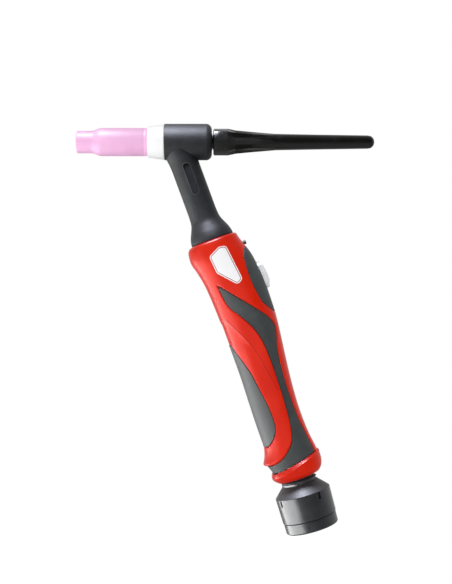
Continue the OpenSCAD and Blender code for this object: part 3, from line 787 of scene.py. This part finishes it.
def skin(name, surface, sheet, roll, depth, lift=None, sharp=None):
    """A closed piece: the sheet with its edges rolled over, a rim, and an inner face this deep.

    Its outer edges are sharp where sharp(points) is nought."""
    points, faces, shares = sheet
    rolled = np.clip(1 - shares, 0, 1)
    drop = roll(points) * (1 - np.sqrt(1 - rolled ** 2 * 0.96))
    if lift is not None:
        drop = drop - lift(points)
    outer = surface.toward_axis(points, drop)
    inner = surface.toward_axis(points, depth)
    count = len(points)
    seen = {}
    for face in faces:
        for a, b in zip(face, [*face[1:], face[0]]):
            seen[(a, b)] = seen.get((a, b), 0) + 1
    rim = [[b, a, a + count, b + count] for a, b in seen if (b, a) not in seen]
    whole = [*faces, *([i + count for i in reversed(face)] for face in faces), *rim]
    piece = new_piece(name, np.concatenate([outer, inner]), faces=whole)
    face_outwards(piece)
    if sharp:
        off_line = sharp(points)
        # The nearness to that line is kept as the crease attribute. The red finish uses it for a painted
        # shade along the crease.
        crease_of = piece.data.attributes.new("crease", "FLOAT", "POINT")
        shade_width = 0.7
        nearness = np.clip(1 - np.abs(off_line) / shade_width, 0, 1)
        crease_of.data.foreach_set("value", np.append(nearness, nearness).astype(np.float32))
        on_line = np.append(np.abs(off_line) < 0.05, np.zeros(count, bool))
        ends = np.zeros(len(piece.data.edges) * 2, np.int32)
        piece.data.edges.foreach_get("vertices", ends)
        mark = piece.data.attributes.new("sharp_edge", "BOOLEAN", "EDGE")
        mark.data.foreach_set("value", on_line[ends].reshape(-1, 2).all(1))
    edge = piece.data.attributes.new("edge", "FLOAT", "POINT")
    edge.data.foreach_set("value", np.concatenate([shares, shares]).astype(np.float32))
    piece.data.transform(on_handle)
    return piece


def mirrored(piece, name):
    """The same piece on the far side."""
    other = piece.copy()
    other.data = piece.data.copy()
    other.name = other.data.name = name
    scene.collection.objects.link(other)
    other.data.transform(Matrix.Scale(-1, 4, (0, 1, 0)))
    other.data.flip_normals()
    return other


red_skin = Surface(red_rows)
near_angles = even_angles(180, 360, 76)


def smoothstep(low, high, x):
    t = np.clip((x - low) / (high - low), 0, 1)
    return t * t * (3 - 2 * t)


def red_roll(p):
    """The edges roll over a little, and more round the lip that overhangs the foot."""
    edge_roll, lip_roll = 0.5, 1.3
    return edge_roll + lip_roll * smoothstep(205, 219, -p[:, 2]) * smoothstep(-8, 6, -p[:, 0])


def red_reach(p):
    v, u = p[:, 0], -p[:, 2]
    gap = groove / 2
    reach = [-distance_in(red_skin, outline, p) - gap
             for outline in (inlay_outline, pad_outline, trigger_outline)]
    return np.minimum.reduce([*reach, ring_edge(v) - u - gap, -p[:, 1] * 1.6 - 0.08])


button_u, button_l, button_w = 102.3, 18.5, 8.6


def opening_distance(p, gap):
    """How far from the oblong opening round the button."""
    along = np.clip(np.abs(-p[:, 2] - button_u) - (button_l - button_w) / 2, 0, None)
    away = np.hypot(along, p[:, 1]) - button_w / 2 - gap
    return np.where(p[:, 0] > 10, away, 50)


def soft_roll(p):
    return np.full(len(p), 0.32)


crease = np.array(smooth_line([(-9.9, 120.5), (-8.7, 124.3), (-5, 132.1), (-1.6, 139.5), (0.7, 145.8),
                               (2.6, 153.4), (3.8, 162.3), (5.4, 170.6), (6.4, 177.5)], 6))
crease_top, crease_foot, crease_drop = 121, 177, 0.8


def ahead_of_crease(p):
    """How far towards the front of the handle from the crease, in the parts that the crease crosses."""
    ahead = np.interp(-p[:, 2], crease[:, 1], crease[:, 0]) - p[:, 0]
    return np.where((-p[:, 2] > crease_top) & (-p[:, 2] < crease_foot), ahead, 9)


def crease_lift(p):
    """The skin drops on the front side of the crease, most at its top, and rises again to the front."""
    ahead = np.clip(ahead_of_crease(p), 0, None)
    u = -p[:, 2]
    strength = smoothstep(crease_top, 126, u) * (1 - 0.7 * smoothstep(134, 150, u))
    strength = strength * (1 - smoothstep(160, crease_foot, u))
    return -crease_drop * strength * (1 - np.exp(-ahead / 1.8)) * np.exp(-ahead / 14)


shell_span, shell_wall = (69.5, 230), 2.2
red_sheet = cut_sheet(red_skin, shell_span, near_angles, red_reach, red_roll, line=ahead_of_crease)
shell_near = skin("handle_shell_near_moulding", red_skin, red_sheet, red_roll, shell_wall,
                  crease_lift, ahead_of_crease)

core_span, core_inset, core_wall = (71, 226), 2.6, 0.8
core_skin = Surface([(u, a + core_inset, b - core_inset, c - core_inset)
                     for u, a, b, c in red_rows if 70 < u < 206]
                    + [(216, -13.6, 13.5, 13.3), (231, -12.6, 12.8, 12.6)])


def core_reach(p):
    return np.minimum(-p[:, 1] - 0.05, opening_distance(p, 2))


core_sheet = cut_sheet(core_skin, core_span, near_angles[::2], core_reach, soft_roll, (0,))
shell_core = skin("shell_core", core_skin, core_sheet, soft_roll, core_wall)
select_only(shell_near, shell_core)
bpy.ops.object.join()

# The far half is built like the near one, with a hole and a tube for each screw, and then mirrored.
screw_holes = [(-13.2, 86, 6), (-8.8, 134, 7.6)]
screw_hole_r, screw_tube_r, tube_sides = 2.7, 3.3, 32


def hole_distance(p, r):
    return np.minimum.reduce([np.hypot(p[:, 0] - v, -p[:, 2] - u) - r for v, u, seat in screw_holes])


def screw_tube(v, u, seat):
    """A tube from the screw head's seat to just under the skin."""
    turns = np.linspace(0, math.tau, tube_sides + 1)[:-1]
    sides = []
    for r in (screw_hole_r, screw_tube_r):
        foot_v, foot_u = v + r * np.cos(turns), u + r * np.sin(turns)
        under_skin = red_skin.side(foot_v, foot_u, -1)[:, 1] + 1.2
        for y in (np.full(tube_sides, float(-seat)), np.minimum(under_skin, -seat - 0.3)):
            sides.append(np.stack([foot_v, y, -foot_u], -1))
    rings = [sides[0], sides[1], sides[3], sides[2]]
    tube = new_piece("screw_tube", np.concatenate(rings), faces=quads_between(4, tube_sides, closed=True))
    face_outwards(tube)
    tube.data.transform(on_handle)
    return tube


def drilled_reach(p):
    return np.minimum(red_reach(p), hole_distance(p, screw_hole_r))


def drilled_core_reach(p):
    return np.minimum(core_reach(p), hole_distance(p, screw_tube_r))


far_sheet = cut_sheet(red_skin, shell_span, near_angles, drilled_reach, red_roll, line=ahead_of_crease)
far_half = skin("far_half", red_skin, far_sheet, red_roll, shell_wall, crease_lift, ahead_of_crease)
far_core_sheet = cut_sheet(core_skin, core_span, near_angles[::2], drilled_core_reach, soft_roll, (0,))
far_core = skin("far_core", core_skin, far_core_sheet, soft_roll, core_wall)
tubes = [screw_tube(*hole) for hole in screw_holes]
select_only(far_half, far_core, *tubes)
bpy.ops.object.join()

red = Finish("glossy_red_plastic", Specular_IOR_Level=0.13)
red_tone = red.noise(0.02, 3)
red_grain = red.noise(0.0009, 2)
# Painted shade: a thin band along the crease is coloured dark red, and it is also made rougher.
painted_crease_shade = red.attribute("crease").rising(0.2, 1)
red_unshaded = red.mix(red_tone.rising(0.3, 0.7), (0.69, 0.015, 0.002), (0.75, 0.02, 0.003))
red.set(Base_Color=red.mix(0.6 * painted_crease_shade, red_unshaded, (0.3, 0.002, 0.001)),
        Roughness=0.27 + 0.1 * red_tone + 0.5 * painted_crease_shade, Normal=red.bump(red_grain, 0.00002))
dress(shell_near, red, 40)
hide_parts("handle_shell_near")
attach(shell_near, "handle")

dress(far_half, red, 40)
shell_far = mirrored(far_half, "handle_shell_far_moulding")
bpy.data.objects.remove(far_half)
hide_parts("handle_shell_far")
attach(shell_far, "handle")

# ---- Side inlays ----
# Charcoal soft rubber, moulded into the sides of the shells. It tapers from a point under the
# trigger, runs down the side and widens round the front of the foot.
shell_step = 0.7
inlay_rows = [(u, a + shell_step, b - shell_step, c - shell_step) for u, a, b, c in red_rows if 79 < u < 206]
inlay_rows += [(209, -14.8, 15.2, 15.6), (214, -15.6, 15.6, 15.9), (218, -16.9, 16.2, 16.1),
               (221, -17.5, 16.5, 16.2), (222.9, -17.6, 16.7, 16.3), (226, -16.4, 16.4, 16.1),
               (231, -15.2, 15.9, 15.6)]
inlay_skin = Surface(inlay_rows)


def inlay_reach(p):
    return np.minimum(distance_in(inlay_skin, inlay_outline, p) - groove / 2, -p[:, 1] * 1.6 - 0.03)


inlay_span, inlay_depth = (97, 230.5), 1.5
inlay_sheet = cut_sheet(inlay_skin, inlay_span, near_angles, inlay_reach, soft_roll)
inlay_near = skin("side_inlay_near_rubber", inlay_skin, inlay_sheet, soft_roll, inlay_depth)

charcoal = Finish("charcoal_soft_rubber", Specular_IOR_Level=0.25)
charcoal_tone = charcoal.noise(0.008, 4)
charcoal_grain = charcoal.noise(0.0004, 2)
charcoal.set(Base_Color=charcoal.mix(charcoal_tone.rising(0.3, 0.7),
                                     (0.042, 0.047, 0.047), (0.052, 0.058, 0.058)),
             Roughness=0.5 + 0.12 * charcoal_tone, Normal=charcoal.bump(charcoal_grain, 0.00004))
dress(inlay_near, charcoal, 40)
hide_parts("side_inlay_near")
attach(inlay_near, "handle")

inlay_far = mirrored(inlay_near, "side_inlay_far_rubber")
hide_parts("side_inlay_far")
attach(inlay_far, "handle")

# ---- Front grip pad ----
# Soft rubber under the fingers, one piece round the front of the handle. It is moulded to the shells' curve
# and glued into their seat, flush with the red.
pad_span, pad_depth = (136.5, 211.5), 1.8


def pad_reach(p):
    return distance_in(red_skin, pad_outline, p) - groove / 2


pad_sheet = cut_sheet(red_skin, pad_span, even_angles(92, 268, 72), pad_reach, soft_roll)
front_pad = skin("front_grip_pad_rubber", red_skin, pad_sheet, soft_roll, pad_depth)

grey = Finish("grey_soft_rubber", Specular_IOR_Level=0.25)
grey_tone = grey.noise(0.01, 4)
grey.set(Base_Color=grey.mix(grey_tone.rising(0.3, 0.7), (0.062, 0.067, 0.067), (0.075, 0.08, 0.08)),
         Roughness=0.48 + 0.12 * grey_tone, Normal=grey.bump(grey.noise(0.0004), 0.00004))
dress(front_pad, grey, 40)
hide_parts("front_grip_pad")
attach(front_pad, "handle")

# ---- Trigger pad ----
# The charcoal pad round the button is moulded with its oblong opening, and sits in the shells as the
# front pad does.
trigger_span = (76, 131)


def trigger_reach(p):
    return np.minimum(distance_in(red_skin, trigger_outline, p) - groove / 2, opening_distance(p, 0.3))


trigger_sheet = cut_sheet(red_skin, trigger_span, even_angles(-88, 88, 84), trigger_reach, soft_roll)
trigger_pad = skin("trigger_pad_rubber", red_skin, trigger_sheet, soft_roll, pad_depth)
dress(trigger_pad, charcoal, 40)
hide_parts("trigger_pad")
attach(trigger_pad, "handle")

# ---- Trigger button ----
# A light grey moulded button with a domed crown, low ridges across it for grip and a step at its foot.
# It slides in the pad's opening on a flange.
at_button = on_handle @ Matrix.Translation(Vector((0, 0, -button_u)) * mm)
crown = smooth_line([(20.4, -9.3), (23.2, -9.2), (24.9, -7.6), (25.9, -4.2), (26.3, -0.6), (26.5, 3),
                     (26.3, 5.6)], 5)
ridge_height, ridges_from, ridges_to = 0.07, -2.8, 4.0
crown = [(v + (ridge_height * math.sin(u * 3.6) if ridges_from < u < ridges_to else 0), u) for v, u in crown]
crown += [(26.1, 6), (25.5, 6.35), (25.4, 7), (25.2, 8.6), (24.6, 9.2), (20.4, 9.3)]
flank = button_w / 2
count = len(crown)
points = [(v, side * flank, -u) for side in (-1, 1) for v, u in crown]
faces = [list(range(count)), list(range(2 * count - 1, count - 1, -1))]
faces += [[(i + 1) % count, i, i + count, (i + 1) % count + count] for i in range(count)]
trigger_button = new_piece("trigger_button_moulding", points, faces=faces)
face_outwards(trigger_button)


def stadium(name, length, width, low, high):
    """A closed block with round ends, long down the handle, between two distances from its axis."""
    half = (length - width) / 2
    ring = [(math.cos(a) * width / 2, math.sin(a) * width / 2 + math.copysign(half, math.sin(a)))
            for a in np.radians(np.arange(2.5, 360, 5))]
    count = len(ring)
    points = [(v, y, z) for v in (low, high) for y, z in ring]
    faces = [list(range(count)), list(range(2 * count - 1, count - 1, -1))]
    faces += [[(i + 1) % count, i, i + count, (i + 1) % count + count] for i in range(count)]
    piece = new_piece(name, points, faces=faces)
    face_outwards(piece)
    return piece


combine(trigger_button, stadium("button_outline", button_l, button_w, 19, 30), "INTERSECT")
combine(trigger_button, stadium("button_flange", button_l + 2, button_w + 2, 18.45, 19.25), "UNION")
combine(trigger_button, stadium("button_body", button_l - 0.6, button_w - 0.6, 18.9, 21.4), "UNION")
trigger_button.data.transform(at_button)
soften_edges(trigger_button, 0.5, 3, 50)

pale = Finish("light_grey_plastic")
pale_tone = pale.noise(0.006, 3)
pale.set(Base_Color=pale.mix(pale_tone.rising(0.3, 0.7), (0.88, 0.88, 0.91), (0.93, 0.93, 0.96)),
         Roughness=0.36 + 0.12 * pale_tone, Normal=pale.bump(pale.noise(0.0006), 0.00002))
dress(trigger_button, pale, 40)
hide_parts("trigger_button")
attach(trigger_button, "trigger")
clothe(frame["nodes"]["switch_plunger"], red)

# ---- Pad catch and shell screws ----
# The round black nub of the catch stands above the trigger pad. The two cross-headed steel screws
# that join the shells sit deep in their holes on the far side.
trigger_way = -Vector(joints["trigger_press"]["axis"])
catch_u = 78
at_catch = frame_of(head_middle - handle_up * catch_u * mm, trigger_way)
catch_line = rounded([(0, 13, 0), (2, 13, 0.2), (2, 13.95, 0.2), (1.2, 13.95, 0), (1.2, 19.2, 0),
                      (1.45, 19.6, 0.2), (1.45, 20.5, 0.5), (0, 20.5, 0)])
pad_catch = turned("pad_catch_nub", catch_line, at_catch, 32)
dress(pad_catch, inner_plastic)
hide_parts("pad_catch")
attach(pad_catch, "handle")
clothe(frame["nodes"]["shell_screws"], plain_steel)

# ---- End ring ----
# The red ring closes the foot of both shells. Its slanted top rim is rolled, and a fine ridge runs round
# below it, nearer to the rim towards the back.
ring_rows = [(215, -18, 18.4, 17.3), (222, -18.2, 18.3, 17.6), (229, -18.4, 18, 17.8),
             (231, -18.1, 17.6, 17.5), (232.7, -17.3, 16.9, 16.9), (234.2, -16.3, 16, 16),
             (235.3, -15.1, 15, 14.9), (236, -14.2, 14.2, 14)]
ring_skin = Surface(ring_rows)
ridge_at = [(-19, 232.6), (-17, 232.3), (-10.5, 231.4), (-3.7, 229.2), (4, 227.1), (13, 224.8),
            (18.9, 222.6)]
rim_round = 0.4
liner_bore, step_bore, foot_bore = 14.85, 12.7, 13.2
step_at, ring_foot = 232, 236


def ring_section(angle):
    """The ring's closed cross-section in one direction from the handle's axis."""
    rim = ring_skin.around(np.array([228.0]), np.array([angle]))[0]
    top = ring_edge(rim[0]) + 0.1
    ridge = max(np.interp(rim[0], *zip(*ridge_at)), top + 0.9)
    lean = min(0.6, 1.5 / (ridge - top))
    inset = lean * (ridge - top)
    over_ridge, below_ridge = ridge - 0.5, ridge + 0.5
    line = [(top + rim_round * (1 - math.cos(t)), inset + rim_round * (1 - math.sin(t)))
            for t in np.linspace(0, math.pi / 2, 5)]
    line += [(top + (over_ridge - top) * t, inset - lean * (over_ridge - top) * t) for t in (0.5, 0.75)]
    line += [(over_ridge, 0.5 * lean + 0.04), (ridge - 0.3, 0.02), (ridge - 0.05, -0.16),
             (ridge + 0.2, -0.15), (below_ridge, 0)]
    line += [(below_ridge + (ring_foot - below_ridge) * t, 0) for t in (0.2, 0.4, 0.6, 0.72, 0.82, 0.91, 1)]
    us, insets = np.array(line).T
    outer = ring_skin.toward_axis(ring_skin.around(us, np.full(len(us), angle)), insets)
    way = outer[4][:2] / np.linalg.norm(outer[4][:2])
    bore = ((ring_foot, foot_bore), (step_at, step_bore), (step_at, liner_bore), (top + 0.75, liner_bore))
    inner = [(*(way * r), -u) for u, r in bore]
    on_inlay = inlay_skin.around(np.array([top]), np.array([angle]))
    return [*outer.tolist(), *inner, *inlay_skin.toward_axis(on_inlay, -0.05).tolist()]


sections = [ring_section(angle) for angle in even_angles(0, 360, 145)[:-1]]
end_ring = new_piece("end_ring_moulding", [p for section in sections for p in section],
                     faces=quads_between(len(sections), len(sections[0]), closed=True))
face_outwards(end_ring)
end_ring.data.transform(on_handle)
dress(end_ring, red, 40)
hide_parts("end_ring")
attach(end_ring, "handle")

# ---- Cable joint ----
# A black moulded ball turns in the foot of the handle. A bright spring clip lies round its neck, and the
# conical collar with its four slots holds the lower ring that clamps the cable.
ball_middle = Vector(joints["swivel_tilt"]["pos_m"])
outlet_up = Vector(joints["cable_turn"]["axis"])
on_outlet = frame_of(ball_middle, outlet_up)
ball_r, passage_r = 11.5, 7
neck_turn = math.asin(passage_r / ball_r)
ball_side = [(ball_r * math.sin(a), ball_r * math.cos(a), 0)
             for a in np.linspace(neck_turn, math.radians(122), 26)]
ball_line = rounded([*ball_side, (9.9, -11.5, 0.8), (10.2, -13.1, 0.3), (11.9, -14.1, 0.3), (11.9, -14.4, 0),
                     (11.2, -14.4, 0), (11.2, -16.3, 0), (12, -16.3, 0), (12, -16.4, 0), (9, -16.4, 0),
                     (9, -34, 0), (passage_r, -34, 0)])
swivel_ball = turned("swivel_ball_moulding", ball_line, on_outlet, 96)
matt_black = Finish("matt_black_moulding")
matt_tone = matt_black.noise(0.006, 4)
matt_black.set(Base_Color=matt_black.mix(matt_tone.rising(0.3, 0.7),
                                         (0.03, 0.031, 0.034), (0.04, 0.041, 0.045)),
               Roughness=0.42 + 0.14 * matt_tone, Normal=matt_black.bump(matt_black.noise(0.0006), 0.00004))
dress(swivel_ball, matt_black)
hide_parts("swivel_ball")
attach(swivel_ball, "cable_outlet")

clip_start, clip_end, clip_sections = 38, 258, 90
clip_line = rounded([(10.6, -13.9, 0.1), (11.2, -14.0, 0.2), (12.0, -15.0, 0.4), (12.0, -16.25, 0.2),
                     (11.25, -16.25, 0.1), (11.25, -14.9, 0.1)], 3)
points = []
for turn in np.radians(np.linspace(clip_start, clip_end, clip_sections)):
    points += [(r * math.cos(turn), r * math.sin(turn), z) for r, z in clip_line]
count = len(clip_line)
last_section = (clip_sections - 1) * count
faces = quads_between(clip_sections, count)
faces += [list(range(count)), [last_section + k for k in range(count - 1, -1, -1)]]
swivel_clip = new_piece("spring_clip", points, faces=faces)
face_outwards(swivel_clip)
swivel_clip.data.transform(on_outlet)
bright_steel = Finish("bright_spring_steel", Metallic=1.0)
draw_marks = bright_steel.noise(0.0015, 3)
bright_steel.set(Base_Color=bright_steel.mix(draw_marks, (0.05, 0.05, 0.053), (0.12, 0.12, 0.125)),
                 Roughness=0.34 + 0.16 * draw_marks)
dress(swivel_clip, bright_steel)
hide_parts("swivel_clip")
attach(swivel_clip, "cable_outlet")

collar_line = rounded([(9, -16.4, 0), (12, -16.4, 0.25), (18.5, -23, 0.8), (18.1, -39.8, 0.25),
                       (15.5, -39.8, 0.2), (15.5, -38.8, 0), (16.1, -38.2, 0), (16.1, -37, 0),
                       (15.5, -36.4, 0), (15.5, -26, 0), (9, -22, 0)])
swivel_collar = turned("swivel_collar_moulding", collar_line, on_outlet, 144)
slot_middle = Matrix.Translation(Vector((18.5, 0, -25.5)) * mm)
slot_size = Matrix.Diagonal((4.6 * mm, 1.7 * mm, 4.4 * mm, 1))
for degrees in range(-58, 213, 90):
    bpy.ops.object.select_all(action="DESELECT")
    bpy.ops.mesh.primitive_cube_add(size=1)
    slot = bpy.context.active_object
    slot.data.transform(on_outlet @ Matrix.Rotation(math.radians(degrees), 4, "Z") @ slot_middle @ slot_size)
    combine(swivel_collar, slot, "DIFFERENCE")
collar_black = Finish("grained_black_moulding", Specular_IOR_Level=0.45)
on_cone = collar_black.along(on_outlet)[2].rising(-23.6, -22.6)
flow = collar_black.node("ShaderNodeMapping", {}, {"Vector": collar_black.place, "Scale": (1, 1, 0.25)})
streaks = collar_black.node("ShaderNodeTexNoise", {}, {"Vector": flow, "Scale": 500, "Detail": 3})
leather = collar_black.noise(0.0009, 2)
collar_tone = collar_black.noise(0.007, 3)
collar_black.set(Base_Color=collar_black.mix(collar_tone.rising(0.3, 0.7),
                                             (0.02, 0.021, 0.024), (0.028, 0.029, 0.033)),
                 Roughness=0.23 + 0.14 * streaks + 0.24 * on_cone,
                 Normal=collar_black.bump(leather + streaks, 0.00003))
dress(swivel_collar, collar_black)
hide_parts("swivel_collar")
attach(swivel_collar, "cable_outlet")

clamp_line = rounded([(13.2, -47.4, 0.3), (17, -47.4, 0.5), (17.7, -46.6, 0.4), (17.7, -40.1, 0.3),
                      (15.45, -40.1, 0), (15.45, -38.3, 0), (15.75, -38, 0), (15.75, -37.2, 0),
                      (15.45, -36.9, 0), (15.45, -35, 0.3), (13.2, -35, 0.3)])
cable_clamp_ring = turned("cable_clamp_ring_moulding", clamp_line, on_outlet, 128)
dress(cable_clamp_ring, collar_black)
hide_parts("cable_clamp_ring")
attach(cable_clamp_ring, "cable_ring")

# ---- Handle label ----
# A plain pale label with a thin red line inside its border lies on each side of the handle's top.
# It is thin plastic, printed without words and glued into place.
corner_r = 2.5
label_corners = [(-6, 79.6), (2.2, 75.6), (6.9, 76.3), (9.6, 100.5), (5.4, 102.9), (-4.9, 91.4)]
label_outline = [tuple(p) for p in rounded([(v, u, corner_r) for v, u in label_corners], 8)]
label_span, proud, label_thick = (72, 106), 0.12, 0.3
label_skin = Surface([(u, a - proud, b + proud, c + proud) for u, a, b, c in red_rows])
line_from, line_to, fade = 0.5, 0.95, 0.15


def label_reach(p):
    return distance_in(label_skin, label_outline, p)


label_sheet = cut_sheet(label_skin, label_span, even_angles(190, 350, 96), label_reach,
                        lambda p: np.ones(len(p)), (0, line_from, line_from + fade, line_to, line_to + fade))
label_near = skin("handle_label_near", label_skin, label_sheet, lambda p: np.zeros(len(p)), label_thick)
label = Finish("printed_label", Roughness=0.3)
edge = label.attribute("edge")
red_line = edge.rising(line_from, line_from + fade) * (1 - edge.rising(line_to, line_to + fade))
label.set(Base_Color=label.mix(red_line, (0.96, 0.96, 0.98), (0.4, 0.004, 0.004)),
          Roughness=0.26 + 0.14 * label.noise(0.004, 3))
dress(label_near, label)
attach(label_near, "handle")
label_far = mirrored(label_near, "handle_label_far")
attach(label_far, "handle")
